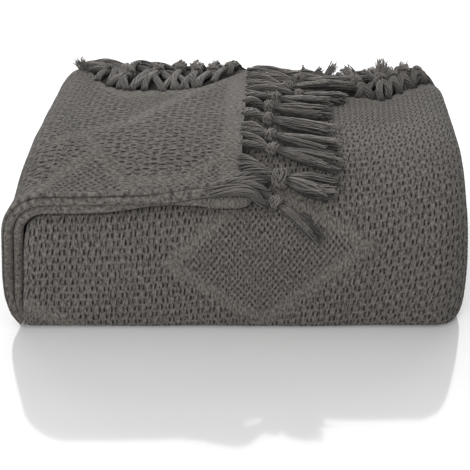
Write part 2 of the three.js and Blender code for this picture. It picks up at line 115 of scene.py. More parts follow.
# The strip's two rolls along its front (x, upper front, lower front, middle heights of its layers)
ROLL_POINTS = [
    (-230, 3, 4, -2, 4, 6.6, 14.1), (-140, 4, 4.5, -2, 4, 6.6, 14.1), (-106, 5, 7, -0.8, 3.8, 6, 14.1),
    (-85, 5.5, 11, -0.4, 3.4, 6, 14.1), (-62, 6.5, 14, -1.8, 2.6, 6.6, 14.1),
    (-38, 7, 10, 0.6, 7.6, 12, 16.2), (-14, 7, 7, 0, 11.2, 15, 18.2), (20, 8, 8, 0, 11.6, 15.4, 18.8),
]

# The crease over the rolls (x, way forwards from the top of the upper one)
CREASE = [(-230, 2.3), (-85, 2.2), (-60, -0.3), (-38, -4), (-14, -8.7), (20, -14)]

# The rounded tip of the lower roll (x, y, z, radius)
ROLL_TIP = [
    (-26, 14, 134.6, 6.2), (0, 14, 134.8, 6.6), (8, 14.4, 135, 6), (13, 14.8, 135.4, 4.4),
    (16.5, 15, 135.8, 1),
]
TIP_HEIGHT = 1.06  # beside its depth

# Plain bands and fine fields of the weave: on the body (x, way up the section), on the strip (x, y)
LOZENGE = [(-63, 86), (28, 23), (127, 107), (27, 174)]
CORNER = [(-240, 73), (-216, 56), (-165, 21)]
BODY_BANDS = [LOZENGE + LOZENGE[:1], CORNER + [(-140, 4)]]
BODY_FINE = [LOZENGE, CORNER + [(-140, 0), (-240, 0)]]
STRIP_BANDS = [
    [(-230, -5), (-200, 21), (-179, 39), (-150, 59)],
    [(-166, 92), (-141, 54), (-118, 24), (-105, 5)],
    [(-200, 80), (-166, 92), (-123, 110), (-93, 151), (-40, 225), (0, 285)],
    [(-118, 24), (-56, 28), (5, 81)],
    [(-184, 277), (-134, 189), (-91, 199), (-60, 210)],
]
STRIP_FINE = [
    [(-215, 5), (-150, 59), (-141, 54), (-118, 24), (-112, 0), (-215, 0)],
    [(-110, 24), (-56, 28), (8, 83), (20, 0), (-110, 0)],
    [(-136, 187), (-91, 199), (-62, 196), (-93, 151), (-120, 114)],
]

# Climb of the body's rows of cells (x, slope)
ROW_SLOPES = [(-166, 0), (-109, 0.05), (-67, 0.09), (128, 0.13), (157, 0.23), (181, 0.27), (260, 0.3)]

# Tassels: where their legs start on the hem, the knot, the end, the size and the spread of the tail
SIDE_TASSELS = [
    (27, 39, 18, 76, -1, 0.95, 0.7), (50, 44, 37, 92, 26, 1.45, 1.25), (80, 38, 76, 98, 54, 1, 1.1),
    (104, 36, 100, 98, 79, 1, 1.1), (140, 35, 138, 93, 112, 1.05, 1.1), (172, 37, 173, 97, 157, 1.05, 1.1),
    (198, 46, 202, 98, 181, 1, 1.1), (226, 72, 217, 118, 206, 0.9, 1), (248, 60, 240, 106, 235, 1.15, 1),
    (276, 75, 258, 135, 246, 1.35, 0.9),
]
BACK_LEFT_TASSELS = [
    (-166, -152, 277, -177, 312, 1, 1), (-140, -123, 262, -134, 316, 1, 0.8),
    (-108, -90, 271, -98, 322, 1, 0.8), (-78, -65, 280, -69, 325, 0.9, 1), (-52, -45, 271, -46, 321, 1, 1),
    (-36, -26, 272, -22, 322, 1, 1), (-16, -7, 287, 4, 322, 0.9, 1),
]
BACK_RIGHT_TASSELS = [
    (134, 141, 252, 130, 305, 1, 1), (153, 170, 262, 160, 316, 1.1, 1), (167, 186, 277, 183, 318, 1, 1),
    (180, 201, 289, 205, 322, 1.2, 1), (196, 219, 296, 226, 326, 1, 1),
]

# Ropes of yarn along the hems and their corners (radius, points)
SIDE_ROPES = [
    (3.1, (-1, 30, 152), (10.6, 34, 154), (24, 38, 153), (36, 42, 148)),
    (3.1, (-9, 22, 150), (5, 26, 151.5), (18, 31, 150), (32, 38, 144)),
    (3.1, (-30, 12, 146), (-18, 11, 148), (-3, 10, 150), (11, 11, 149), (20, 12, 143), (26, 14, 134),
     (34, 19, 130)),
    (3.1, (-24, 8.5, 144.5), (-10, 7.5, 147), (5, 7, 148), (15, 8, 145), (22, 10, 138), (29, 14, 131)),
    (3.1, (2, 17, 150), (13, 18, 151), (23, 20, 147), (30, 24, 140), (34, 30, 137)),
    (3.6, (18, 285, 184), (28, 298, 184), (40, 302, 183), (52, 300, 181), (62, 292, 179), (71, 280, 177),
     (79, 270, 176)),
    (3.6, (21, 262, 182), (33, 268, 182), (46, 270, 183), (59, 266, 181), (70, 258, 179)),
    (3.4, (18, 210, 176), (26, 222, 179), (38, 230, 182), (51, 230, 182), (63, 242, 180)),
    (2.8, (20, 176, 169), (24, 195, 173), (30, 212, 178), (37, 216, 180), (40, 204, 177), (34, 190, 173),
     (26, 180, 171)),
    (2.8, (30, 216, 180), (40, 224, 182), (45, 214, 180), (47, 195, 175), (45, 182, 170)),
    (3.4, (57, 284, 181), (71, 288, 180), (82, 284, 179), (94, 280, 178), (108, 276, 176), (122, 270, 176)),
    (3.2, (48, 262, 178), (62, 254, 178), (76, 250, 177), (92, 250, 176), (111, 250, 174)),
    (3.2, (23, 280, 173), (34, 294, 171), (45, 299, 170), (56, 298, 170), (66, 290, 171)),
    (3.2, (40, 296, 184), (51, 300, 181), (62, 302, 179), (74, 302, 177), (86, 300, 179), (98, 296, 177),
     (109, 290, 176), (122, 283, 176)),
]
BACK_LEFT_ROPES = [
    (3.6, (-184, 296, 185), (-179, 300, 188), (-169, 304, 189), (-159, 306, 190), (-148, 306, 189),
     (-130, 298, 184)),
    (3.4, (-143, 222, 183), (-142, 236, 188), (-142, 270, 188), (-147, 292, 187), (-159, 304, 186)),
    (3.4, (-122, 208, 183), (-125, 226, 188), (-134, 268, 189), (-140, 290, 188), (-149, 304, 186)),
    (3.4, (-116, 206, 183), (-113, 226, 188), (-107, 260, 187), (-100, 275, 187)),
    (3.6, (-123, 245, 188), (-124, 275, 189), (-122, 300, 188), (-114, 308, 188), (-105, 304, 187),
     (-98, 290, 186)),
    (3.4, (-79, 201, 183), (-86, 224, 188), (-97, 262, 188), (-106, 285, 186), (-115, 300, 184)),
    (3.4, (-61, 206, 183), (-70, 230, 188), (-82, 262, 187), (-89, 285, 186), (-99, 300, 185)),
    (3.6, (-103, 300, 187), (-93, 306, 186), (-84, 308, 183), (-74, 300, 181), (-64, 290, 180)),
    (3.2, (-54, 208, 183), (-58, 234, 187), (-68, 262, 186), (-80, 280, 184)),
    (3.4, (-66, 295, 181), (-56, 303, 182), (-45, 306, 181), (-35, 300, 179), (-28, 290, 177)),
    (3.2, (-45, 214, 183), (-42, 240, 186), (-34, 268, 185), (-25, 290, 183), (-18, 302, 182)),
    (3.2, (-41, 262, 183), (-30, 282, 183), (-19, 298, 182), (-10, 306, 181)),
    (3.8, (-152, 309, 179), (-120, 313, 180), (-90, 313, 179), (-60, 313, 178), (-35, 313, 177),
     (-12, 311, 177)),
]
BACK_RIGHT_ROPES = [
    (4.2, (158, 220, 164), (161, 235, 168), (168, 250, 170), (177, 258, 172), (188, 264, 171)),
    (3.2, (135, 240, 178), (144, 238, 176), (153, 232, 173), (159, 224, 167)),
    (3.4, (146, 217, 165), (151, 240, 172), (162, 265, 174), (174, 280, 174)),
    (3.4, (174, 232, 163), (182, 254, 171), (191, 272, 173), (198, 288, 175)),
    (4.0, (196, 248, 162), (199, 266, 170), (204, 280, 173), (215, 292, 174)),
    (3.2, (206, 260, 162), (215, 282, 173), (224, 292, 174), (232, 293, 170), (238, 290, 162)),
    (4.5, (124, 284, 164), (150, 290, 166), (170, 293, 166), (190, 291, 165), (210, 288, 163),
     (236, 284, 156)),
    (3.2, (222, 283, 168), (216, 298, 174), (210, 308, 177), (205, 314, 178)),
    (3.6, (126, 262, 177), (141, 275, 177), (158, 285, 175), (175, 290, 172), (189, 288, 170),
     (201, 280, 169)),
    (3.6, (134, 292, 177), (151, 302, 176), (167, 308, 173), (184, 304, 172), (197, 296, 171)),
    (1.4, (208, 312, 180), (221, 314, 178), (230, 312, 175), (237, 306, 169), (242, 298, 161)),
]

# Frayed tufts between the ropes (start, end, radius, yarns)
SIDE_TUFTS = [
    ((79, 296, 177), (85, 306, 184), 3, 16), ((92, 292, 176), (106, 304, 182), 4, 26),
    ((106, 282, 177), (121, 302, 187), 5.5, 34),
]
BACK_LEFT_TUFTS = [
    ((-178, 290, 183), (-189, 303, 193), 6, 48), ((-72, 275, 182), (-64, 304, 191), 3.6, 28),
    ((-42, 292, 182), (-51, 308, 187), 3.2, 22), ((-16, 290, 181), (-5, 306, 186), 3.4, 24),
]
BACK_RIGHT_TUFTS = [
    ((170, 262, 171), (177, 300, 192), 6, 60), ((192, 276, 172), (206, 305, 189), 5, 44),
    ((155, 268, 171), (134, 300, 184), 6, 40),
]

# Yarns and what they make, in a tassel of size one
YARN, LEG_YARN, TUBE_SIDES = 0.72, 0.66, 3
YARN_LEAN, ROPE_LEAN = (0.12, 0.31, 0.94), (0.2, 0.1, 0.95)  # roughly up, but along no yarn
ROPE_YARNS = 5.8  # for each millimetre of a rope's radius
LEG_RADIUS, LEG_YARNS, HEM_OVERLAP = 3.3, 20, 2
KNOT, KNOT_LIFT, NECK = 6.5, 1.5, 4.5  # a knot's radius, its height over the ground, half its length
TURNS = [(-0.5, 0.14, 0.62), (0.5, 0.14, 0.62), (0, -0.24, 0.78), (0.05, 0.36, 0.76)]  # place, slant, width
LOCKS, TAIL_YARNS = 5, 105  # in each tail
LOCK_PLACE, LOCK_RADIUS = 0.6, 0.44  # of a lock in its tail, beside the tail's radius
TAIL_START, TAIL_MIDDLE, TAIL_END = 2.6, 5.8, 2.4  # a tail's radius at its knot, and its two gains
TAIL_WIDTH, TAIL_HEIGHT, TAIL_REST = 1.15, 0.88, 6.6
UNDERSIDE, GROUND_SHADE, SHADE_HEIGHTS = 0.35, 0.22, (-2, 10)  # light under a rope, and low on the ground
FRONT_EDGE, FRONT_FALL = 8, 1.6  # where the side fringe's ground falls away, and its slope
BACK_LIFT, BACK_FALL = 3, 0.5  # the back-right fringe's height over the body, and the slope behind it

# Colours, light and camera
# The cloth's darkest colour is painted shade in the weave's slots, and the dark of its grain
SLOT_SHADE_AND_DARK_GRAIN, LIGHT_CLOTH = (0.01, 0.009, 0.008), (0.22, 0.2, 0.181)
# The yarn's darkest colour is painted shade under, inside and between the yarns
SHADED_YARN, LIGHT_YARN = (0.012, 0.011, 0.01), (0.222, 0.202, 0.184)
DARK_FLOOR, LIGHT_FLOOR = (0.785, 0.785, 0.79), (0.81, 0.81, 0.81)
# A slot's depth sinks the relief and also paints shade into the slot's colour
COARSE_SLOTS, FINE_SLOTS = (0.18, 0.083, 0.62), (0.0, 0.17, 0.5)  # place, width and depth in a cell
PLAIN_HEIGHT = 0.85  # of a plain band, beside the highest threads
FLOOR_HALF, WORLD_LIGHT = 6, 0.27
CAMERA_PLACE, CAMERA_TILT, LENS, SENSOR = np.array([0.0, -781.0, 487.0]), 64, 70.0, 36.0


def column(rows, at, key=0, value=1):
    """Value in one column of a table at a place in another, between its rows."""
    table = np.array(rows, float)
    return np.interp(at, table[:, key], table[:, value])


def columns(rows, at, values):
    """Values in several columns at a place in the first."""
    return [float(column(rows, at, 0, value)) for value in values]


def ease(start, stop, value):
    """0 at one value, 1 at another, and a soft step between them."""
    share = np.clip((value - start) / (stop - start), 0, 1)
    return share * share * (3 - 2 * share)


def stacked(*parts):
    """Arrays side by side along a new last axis."""
    return np.stack(np.broadcast_arrays(*parts), axis=-1)


def rounded_drop(radius, inwards):
    """How far a rounded edge has dropped at a distance from its end."""
    reach = np.clip(1 - inwards / radius, 0, 1)
    return radius * (1 - np.sqrt(1 - reach * reach))


def lengths(points):
    """Way along a line of points to each of them."""
    return np.r_[0, np.cumsum(np.linalg.norm(np.diff(points, axis=0), axis=1))]


def spaced(points, step):
    """The same line, with its points about one step apart."""
    along = lengths(points)
    stops = np.linspace(0, along[-1], max(2, round(along[-1] / step) + 1))
    return stacked(*(np.interp(stops, along, values) for values in points.T))


def smooth(points, step):
    """A Catmull-Rom curve through the points, in points about one step apart."""
    points = np.array(points, float)
    padded = np.vstack([2 * points[0] - points[1], points, 2 * points[-1] - points[-2]])
    fine = []
    for a, b, c, d in zip(padded, padded[1:], padded[2:], padded[3:]):
        for t in np.linspace(0, 1, 16, endpoint=False):
            near = (c - a) * t + (2 * a - 5 * b + 4 * c - d) * t**2
            far = (3 * b - a - 3 * c + d) * t**3
            fine.append(b + 0.5 * (near + far))
    fine.append(points[-1])
    return spaced(np.array(fine), step)


def normals(line):
    """Directions square to a line (y, z) at its points."""
    step = np.gradient(line, axis=0)
    step /= np.linalg.norm(step, axis=1, keepdims=True)
    return stacked(-step[:, 1], step[:, 0])


def thicken(line):
    """The two sides of a line of cloth (y, z)."""
    across = normals(line) * THICK / 2
    return line + across, line - across


def unit(vectors):
    """The same directions with a length of one."""
    return vectors / (np.linalg.norm(vectors, axis=-1, keepdims=True) + 1e-9)


def path_sides(path, lean):
    """Directions beside and above a path at its points."""
    step = unit(np.gradient(path, axis=0))
    aside = unit(np.cross(step, lean))
    return aside, np.cross(aside, step)


def ring_faces(index):
    """Faces between the rings of points of a tube."""
    here, there = index[:-1], index[1:]
    return stacked(here, np.roll(here, -1, 1), np.roll(there, -1, 1), there).reshape(-1, 4)


def near_lines(lines, points):
    """Distance of points from the nearest of some bent lines."""
    best = np.full(points.shape[:-1], np.inf)
    for line in lines:
        for a, b in zip(np.array(line, float), np.array(line[1:], float)):
            share = np.clip(((points - a) @ (b - a)) / ((b - a) @ (b - a)), 0, 1)
            best = np.minimum(best, np.linalg.norm(points - a - share[..., None] * (b - a), axis=-1))
    return best


def inside(polygons, points):
    """1 where a point is in one of some polygons."""
    found = np.zeros(points.shape[:-1], bool)
    for polygon in polygons:
        corners = np.array(polygon, float)
        odd = np.zeros(points.shape[:-1], bool)
        for (ax, ay), (bx, by) in zip(corners, np.roll(corners, -1, axis=0)):
            if ay == by:
                continue
            crosses = (ay > points[..., 1]) != (by > points[..., 1])
            odd ^= crosses & (points[..., 0] < (bx - ax) * (points[..., 1] - ay) / (by - ay) + ax)
        found |= odd
    return found.astype(float)


# The body's section and its places
WRAP = smooth(PROFILE, 2.0)
CREST = WRAP[WRAP[:, 1] >= FULLEST_Z]
TOP_HEM = smooth(TOP_HEM_POINTS, 4.0)
STRIP_HEM = smooth(STRIP_HEM_POINTS, 4.0)
STRIP_ROLLS = smooth(ROLL_POINTS, 4.0)


def end_shape(x):
    """What the rounded ends take off the section's front, top and foot at a place."""
    ends = zip((PLAN_RADIUS, TOP_RADIUS, FOOT_RADIUS), (LEFT_PLAN, LEFT_RADIUS, LEFT_FOOT))
    return [rounded_drop(right, RIGHT_X - x) + rounded_drop(left, x - LEFT_X) for right, left in ends]


def settle(x, y, z):
    """Points worked out on straight ends, put where the sagging ends have them."""
    taper = LEFT_TAPER * ease(*TAPER_DEPTHS, y) - column(LEFT_SAG, z)
    sag = RIGHT_SAG * ease(*SAG_HEIGHTS, z)
    moved = x + ease(*LEFT_END, x) * taper + ease(*RIGHT_END, x) * sag
    return stacked(moved, y, z)


def body_points(x, y, z, hem=0.0, inner=0.0, level=0.0):
    """Points of the body's section at places along the pack."""
    front, top, foot = end_shape(x)
    back = y / DEPTH
    folds = FOLD_WANDER * inner * np.sin(x / 55 + 2.1 * level) * np.clip(back, 0, 2) ** 6
    edge = EDGE_WANDER * inner * ease(30, 0, RIGHT_X - x) * (1 + np.sin(2.3 * level))
    across = x + RIGHT_FLARE * y * np.maximum(x / RIGHT_X, 0) - edge
    deep = front + (DEPTH - front) * back + hem * (column(TOP_HEM, x) - DEPTH) + folds
    return settle(across, deep, foot + z * (HEIGHT - top - foot) / HEIGHT)


def body_top(x, y):
    """Height of the body's top at a place."""
    along = np.where(x > 0, x / (1 + RIGHT_FLARE * y / RIGHT_X), x)
    front, top, foot = end_shape(np.clip(along, LEFT_X, RIGHT_X))
    deep = (y - front) * DEPTH / (DEPTH - front)
    return foot + np.interp(deep, CREST[:, 0], CREST[:, 1]) * (HEIGHT - top - foot) / HEIGHT


def layer_z(level, y):
    """Height of a layer's middle inside the body."""
    top = np.interp(y, CREST[:, 0], CREST[:, 1]) - THICK / 2
    return THICK / 2 + (top - THICK / 2) * level / LAYER_STEPS


def front_turn(level):
    """Depth at which the fold at the front of two layers turns, behind the wrap."""
    y = 12.0
    for _ in range(12):
        radius = (layer_z(level + 1, y) - layer_z(level, y)) / 2
        y = np.interp(layer_z(level + 0.5, y), WRAP[:, 1], WRAP[:, 0]) + THICK * 1.5 + WRAP_GAP + radius
    return y + FRONT_WANDER * (1 + math.sin(1.3 * level))


def half_turn(y, low, high, way, steps=6):
    """A half turn from one layer to the next, bulging to the front (-1) or the back (1)."""
    turn = np.linspace(0, math.pi, steps)
    bulge = way * abs(high - low) / 2 * np.sin(turn)
    return stacked(y + bulge, low + (high - low) * (1 - np.cos(turn)) / 2)


def ripple(u, v):
    """Soft unevenness of the cloth, in millimetres."""
    slow = np.sin(u / 41 + 1.4 * np.sin(v / 57)) * np.sin(v / 47 + 1.1 * np.sin(u / 73))
    return 0.7 * slow + 0.35 * np.sin(u / 19 + v / 31) * np.sin(v / 17 - u / 43)


def row_shift(x):
    """How far the rows of the weave have climbed by a place along the pack."""
    step = 4.0
    places = np.arange(-260.0, 300.0, step)
    return np.interp(x, places, np.cumsum(column(ROW_SLOPES, places)) * step)


def body_places(step):
    """Places along the body, closer where its ends are rounded."""
    left = LEFT_X + np.array([0, 1, 3, 6, 10])
    straight = np.arange(LEFT_X + 14, RIGHT_X - PLAN_RADIUS, step)
    turns = np.radians(np.linspace(0, 85, 14))
    return np.r_[left, straight, RIGHT_X - PLAN_RADIUS * (1 - np.sin(turns))][:, None]


def add_object(name, data):
    """An object in the scene."""
    obj = bpy.data.objects.new(name, data)
    scene.collection.objects.link(obj)
    return obj


def finish_mesh(mesh, name, angle):
    """An object of a mesh with its faces outwards, shaded smooth but for edges past an angle."""
    shape = bmesh.new()
    shape.from_mesh(mesh)
    bmesh.ops.remove_doubles(shape, verts=shape.verts, dist=0.001 * MM)
    bmesh.ops.recalc_face_normals(shape, faces=shape.faces)
    shape.to_mesh(mesh)
    shape.free()
    mesh.polygons.foreach_set("use_smooth", np.ones(len(mesh.polygons), bool))
    mesh.set_sharp_from_angle(angle=math.radians(angle))
    return add_object(name, mesh)


class Cloth:
    """Two-sided grids of cloth in one mesh, with a UV map, two weave masks and a mask of painted shade."""

    MASKS = ("plain", "fine", "shade")

    def __init__(self):
        self.points, self.faces = [], []
        self.values = {label: [] for label in ("uv", *self.MASKS)}
        self.count = 0

    def add(self, front, back, **values):
        """A grid of places by points for each side of the cloth, closed at its rim, with its values."""
        places, n = front.shape[:2]
        ring = np.concatenate([front, back[:, ::-1]], axis=1)
        self.points.append(ring.reshape(-1, 3))
        for label, value in values.items():
            both = np.concatenate([value, value[:, ::-1]], axis=1)
            self.values[label].append(both.reshape(places * 2 * n, -1))
        index = self.count + np.arange(places * 2 * n).reshape(places, 2 * n)
        self.faces.append(ring_faces(index))
        for rim, order in ((index[0], 1), (index[-1], -1)):
            far = rim[::-1]
            cap = stacked(far[: n - 1], far[1:n], rim[1:n], rim[: n - 1])
            self.faces.append(cap[:, ::order])
        self.count += places * 2 * n

    def build(self, name):
        """The cloth as one object."""
        mesh = bpy.data.meshes.new(name)
        points = (np.concatenate(self.points) - CENTRE) * MM
        faces = np.concatenate(self.faces)
        mesh.from_pydata(points.tolist(), [], faces.tolist())
        uvs = np.concatenate(self.values["uv"])[faces.reshape(-1)] * MM
        mesh.uv_layers.new(name="weave").data.foreach_set("uv", uvs.reshape(-1))
        for label in self.MASKS:
            layer = mesh.attributes.new(label, "FLOAT", "POINT")
            layer.data.foreach_set("value", np.concatenate(self.values[label]).reshape(-1))
        mesh.validate()
        return finish_mesh(mesh, name, 50)


def add_wrap(cloth):
    """The outer wrap: the top, the front and the first half of the bottom."""
    outer = np.vstack([spaced(WRAP[::-1], GRID), stacked(FLOOR_STOPS, 0)])
    normal = -normals(outer)
    way = lengths(outer)[-len(FLOOR_STOPS) - 1] - lengths(outer)
    hem = np.clip((outer[:, 0] - HEM_DEPTH) / (DEPTH - HEM_DEPTH), 0, 1) * (way > 0)
    x = body_places(GRID)
    bumps = ripple(x, way[None]) * ease(-20, 30, way)[None]
    sides = []
    for depth in (0.0, THICK):
        y, z = (outer - depth * normal).T
        y, z = y[None] + bumps * normal[None, :, 0], z[None] + bumps * normal[None, :, 1]
        sides.append(body_points(x, y, z, hem=hem[None]))
    marks = stacked(x, way[None])
    at_hem = ease(*BODY_HEM_EDGE, way.max() - way)[None] * np.ones_like(x)
    cloth.add(
        *sides,
        uv=stacked(x, way[None] - row_shift(x)),
        plain=np.maximum(ease(*BAND_EDGE, near_lines(BODY_BANDS, marks)), at_hem),
        fine=inside(BODY_FINE, marks),
        # painted shade towards the right end
        shade=RIGHT_SHADE * ease(180, RIGHT_X, marks[..., 0]),
    )


def inner_line():
    """Middle line of the inner layers (y, z) from the bottom up, and its points' levels."""
    line = [stacked(np.linspace(140, 250, 6), THICK / 2)]
    levels = [np.zeros(6)]
    for level in range(LAYER_STEPS):
        forward = level % 2 == 1
        start = front_turn(min(level, LAYER_STEPS - 2) if forward else level - 1)
        y = start if forward else DEPTH - 8 + BACK_WANDER * math.sin(1.7 * level)
        if level:
            run = LAYER_STOPS[LAYER_STOPS > start + 6][:: -1 if forward else 1]
            line.append(stacked(run, layer_z(level, run)))
            levels.append(np.full(len(run), float(level)))
        if level + 1 < LAYER_STEPS:
            line.append(half_turn(y, layer_z(level, y), layer_z(level + 1, y), -1 if forward else 1))
            levels.append(level + np.linspace(0, 1, 6))
        else:
            line.append(np.array([[y, layer_z(level, y)]]))
            levels.append(np.array([float(level)]))
    return np.vstack(line), np.concatenate(levels)


def add_inner(cloth):
    """The layers inside the body, one back-and-forth section."""
    line, levels = inner_line()
    x = body_places(INNER_GRID)
    high, low = (body_points(x, *(side.T[:, None]), inner=1.0, level=levels[None]) for side in thicken(line))
    marks = stacked(x, lengths(line)[None])
    none = np.zeros(marks.shape[:2])
    y = line[None, :, 0] + none
    under_top = ease(LAYER_STEPS - 3, LAYER_STEPS - 2, levels)[None]
    # painted shade on the highest inner layer, behind the hem
    shade = HIDDEN_SHADE * under_top * ease(190, 220, y) * ease(304, 285, y)
    cloth.add(low, high, uv=marks, plain=none, fine=none, shade=shade)


# The strip
def strip_floor(x, y):
    """Inside of the strip: it rests on the body's top and bridges its shoulder."""
    rest = body_top(np.clip(x, LEFT_X + LEFT_RADIUS, RIGHT_X), y) + STRIP_GAP
    return np.maximum(rest, SHOULDER_Z - SHOULDER_SLOPE * (SHOULDER_Y - np.minimum(y, SHOULDER_Y)))


def strip_layer(level, y, x, share=1.0):
    """Height of a layer above the strip's inside: in two rolls at the front, even behind them."""
    front = np.interp(level, range(4), columns(STRIP_ROLLS, x, (3, 4, 5, 6))) * share
    behind = (TOP_STEP if share == 1 else SIDE_STEP) * level
    return THICK / 2 + front + (behind - front) * ease(4, 36, y)


def strip_line(x, share):
    """Middle line of the strip's four layers at one place (y, height), from the inside up."""
    upper, lower, *middles = columns(STRIP_ROLLS, x, range(1, 7))
    low_start = lower + ((middles[1] - middles[0]) / 2 + THICK / 2) * share
    high_start = upper + ((middles[3] - middles[2]) / 2 + THICK / 2) * share
    back_turn, hem = STRIP_BACK - THICK - 2, float(column(STRIP_HEM, x))
    spans = [(low_start, STRIP_BACK - 4), (low_start, back_turn), (high_start, back_turn), (high_start, hem)]
    layers = []
    for level, (start, end) in enumerate(spans):
        on_top = level == 3
        stops = FRONT_STOPS if on_top else FRONT_STOPS[::5]
        last = start + stops[-1]
        rest = last + (end - last) * np.linspace(0, 1, 48 if on_top else 13)[1:]
        y = np.r_[start + stops, rest]
        layers.append(stacked(y, strip_layer(level, y, x, share)))
    turns = []
    for level, way, steps in ((0, -1, 8), (1, 1, 6), (2, -1, 16)):
        y, low = layers[level][0 if way < 0 else -1]
        high = float(strip_layer(level + 1, y, x, share))
        turns.append(half_turn(y, low, high, way, steps)[1:-1])
    line = [layers[0][::-1], turns[0], layers[1], turns[1], layers[2][::-1], turns[2], layers[3]]
    return np.vstack(line), len(layers[3])


def strip_places():
    """Places along the strip: up the left end, round the bend and over the top."""
    foot, shin = STRIP_FOOT[0][0], STRIP_FOOT[-1][0]
    places = []
    for z in np.linspace(foot, shin, 10):
        x, tilt, step = columns(STRIP_FOOT, z, (1, 2, 3))
        places.append(dict(kind="side", x=x, z=z, rise=0, tilt=tilt, share=step / ROLL_STEP))
    for rise in np.linspace(0, 1, 13)[1:-1]:
        places.append(dict(kind="side", x=STRIP_SIDE, z=shin, rise=rise, tilt=0, share=SIDE_SHARE))
    for turn in np.linspace(0, math.pi / 2, 14):
        x = STRIP_SIDE + STRIP_RADIUS * (1 - math.cos(turn))
        places.append(dict(kind="turn", x=x, turn=turn, share=SIDE_SHARE - BEND_LOSS * turn))
    start = STRIP_SIDE + STRIP_RADIUS
    for part in np.linspace(0, 1, 44)[1:]:
        x = start + (STRIP_END - start) * part
        places.append(dict(kind="top", x=x, slant=STRIP_SLANT * part**3, share=1.0))
    return places


def strip_points(place, y, out):
    """Points of the strip at one place, from their depth and height above its inside."""
    centre_z = strip_floor(STRIP_SIDE, y) - STRIP_RADIUS
    if place["kind"] == "turn":
        reach, turn = STRIP_RADIUS + out, place["turn"]
        x = STRIP_SIDE + STRIP_RADIUS - reach * math.cos(turn)
        return settle(x, y, centre_z + reach * math.sin(turn))
    if place["kind"] == "side":
        tilt = math.radians(place["tilt"])
        z = place["z"] + (centre_z - place["z"]) * place["rise"]
        return settle(place["x"] - out * math.cos(tilt), y, z - out * math.sin(tilt))
    x = place["x"] + place["slant"] * y
    return settle(x, y, strip_floor(x, y) + out)


def at_crease(way, width):
    """1 on the crease, and nothing a few millimetres from it."""
    return np.exp(-((way / width) ** 2)) * (np.abs(way) < CREASE_REACH)


def strip_grids(places):
    """The strip's sides, its points' ways from its top layer and the crease, and the points in that layer."""
    inner, outer, across, creases = [], [], [], []
    for place in places:
        line, count = strip_line(place["x"], place["share"])
        way = lengths(line)
        way -= way[-count]
        crease = way + column(CREASE, place["x"])
        wave = ripple(place["x"], 1.3 * line[:, 0]) * ease(0, 30, way)
        line[:, 1] += wave + CREASE_SWELL * np.exp(-np.maximum(crease, 0) / 18) * ease(0, 1.6, crease)
        inwards = (thicken(line)[0] - line) / (THICK / 2)
        line -= CREASE_DEPTH * inwards * at_crease(crease, 0.9)[:, None]
        for store, side in zip((inner, outer), thicken(line)):
            store.append(strip_points(place, *side.T))
        across.append(way)
        creases.append(crease)
    return *(np.array(rows) for rows in (inner, outer, across, creases)), count


def add_strip(cloth):
    """The strip: its four layers carried along its path, with their weave."""
    places = strip_places()
    inner, outer, across, creases, count = strip_grids(places)
    along = lengths((inner + outer)[:, PATH_POINT] / 2)
    along += STRIP_END - along[-1]
    bend = [place["kind"] for place in places].index("turn") + 3
    left = ease(40, -20, along - along[bend])[:, None]
    along = along[:, None]
    depth = (inner[..., 1] + outer[..., 1]) / 2
    n = depth.shape[1]
    shown = (np.arange(n)[None] >= n - count - 8) * 1.0
    marks = stacked(along, depth)
    hem_y = column(STRIP_HEM, [place["x"] for place in places])[:, None]
    hem = ease(*STRIP_HEM_EDGE, hem_y - depth) * shown
    end = ease(*STRIP_END_EDGE, STRIP_END - along) + 0 * depth
    bands = ease(*BAND_EDGE, near_lines(STRIP_BANDS, marks)) * shown
    rolled = ROLL_PLAINNESS * ease(6, 2, creases)
    deep, cos, sin = across * STRIP_CELL, math.cos(STRIP_TURN), math.sin(STRIP_TURN)
    # painted shade on the hidden layers behind the hem and along the crease, then towards the left end and
    # over the whole strip
    hidden = HIDDEN_SHADE * (1 - shown) * ease(-30, 0, depth - hem_y) * ease(308, 285, depth)
    shade = hidden + CREASE_SHADE * at_crease(creases, 1.3)
    cloth.add(
        inner,
        outer,
        uv=stacked(deep * cos + along * sin, along * cos - deep * sin),
        plain=np.max([bands, hem, end, rolled], axis=0),
        fine=inside(STRIP_FINE, marks) * shown,
        shade=shade + (1 - shade) * (STRIP_SHADE + LEFT_SHADE * left),
    )


def add_roll_tip(cloth):
    """The rounded end of the strip's lower roll."""
    tip = smooth(ROLL_TIP, 1.6)
    x, y, z, radius = (tip[:, k : k + 1] for k in range(4))
    turn = np.linspace(0, math.pi, 13)
    sides = []
    for sign in (1, -1):
        height = z + sign * radius * np.sin(turn) * TIP_HEIGHT
        sides.append(stacked(x, y - radius * np.cos(turn), height))
    uv = stacked(x, radius * turn)
    flat = np.ones(uv.shape[:2])
    cloth.add(*sides, uv=uv, plain=flat, fine=0 * flat, shade=0 * flat)


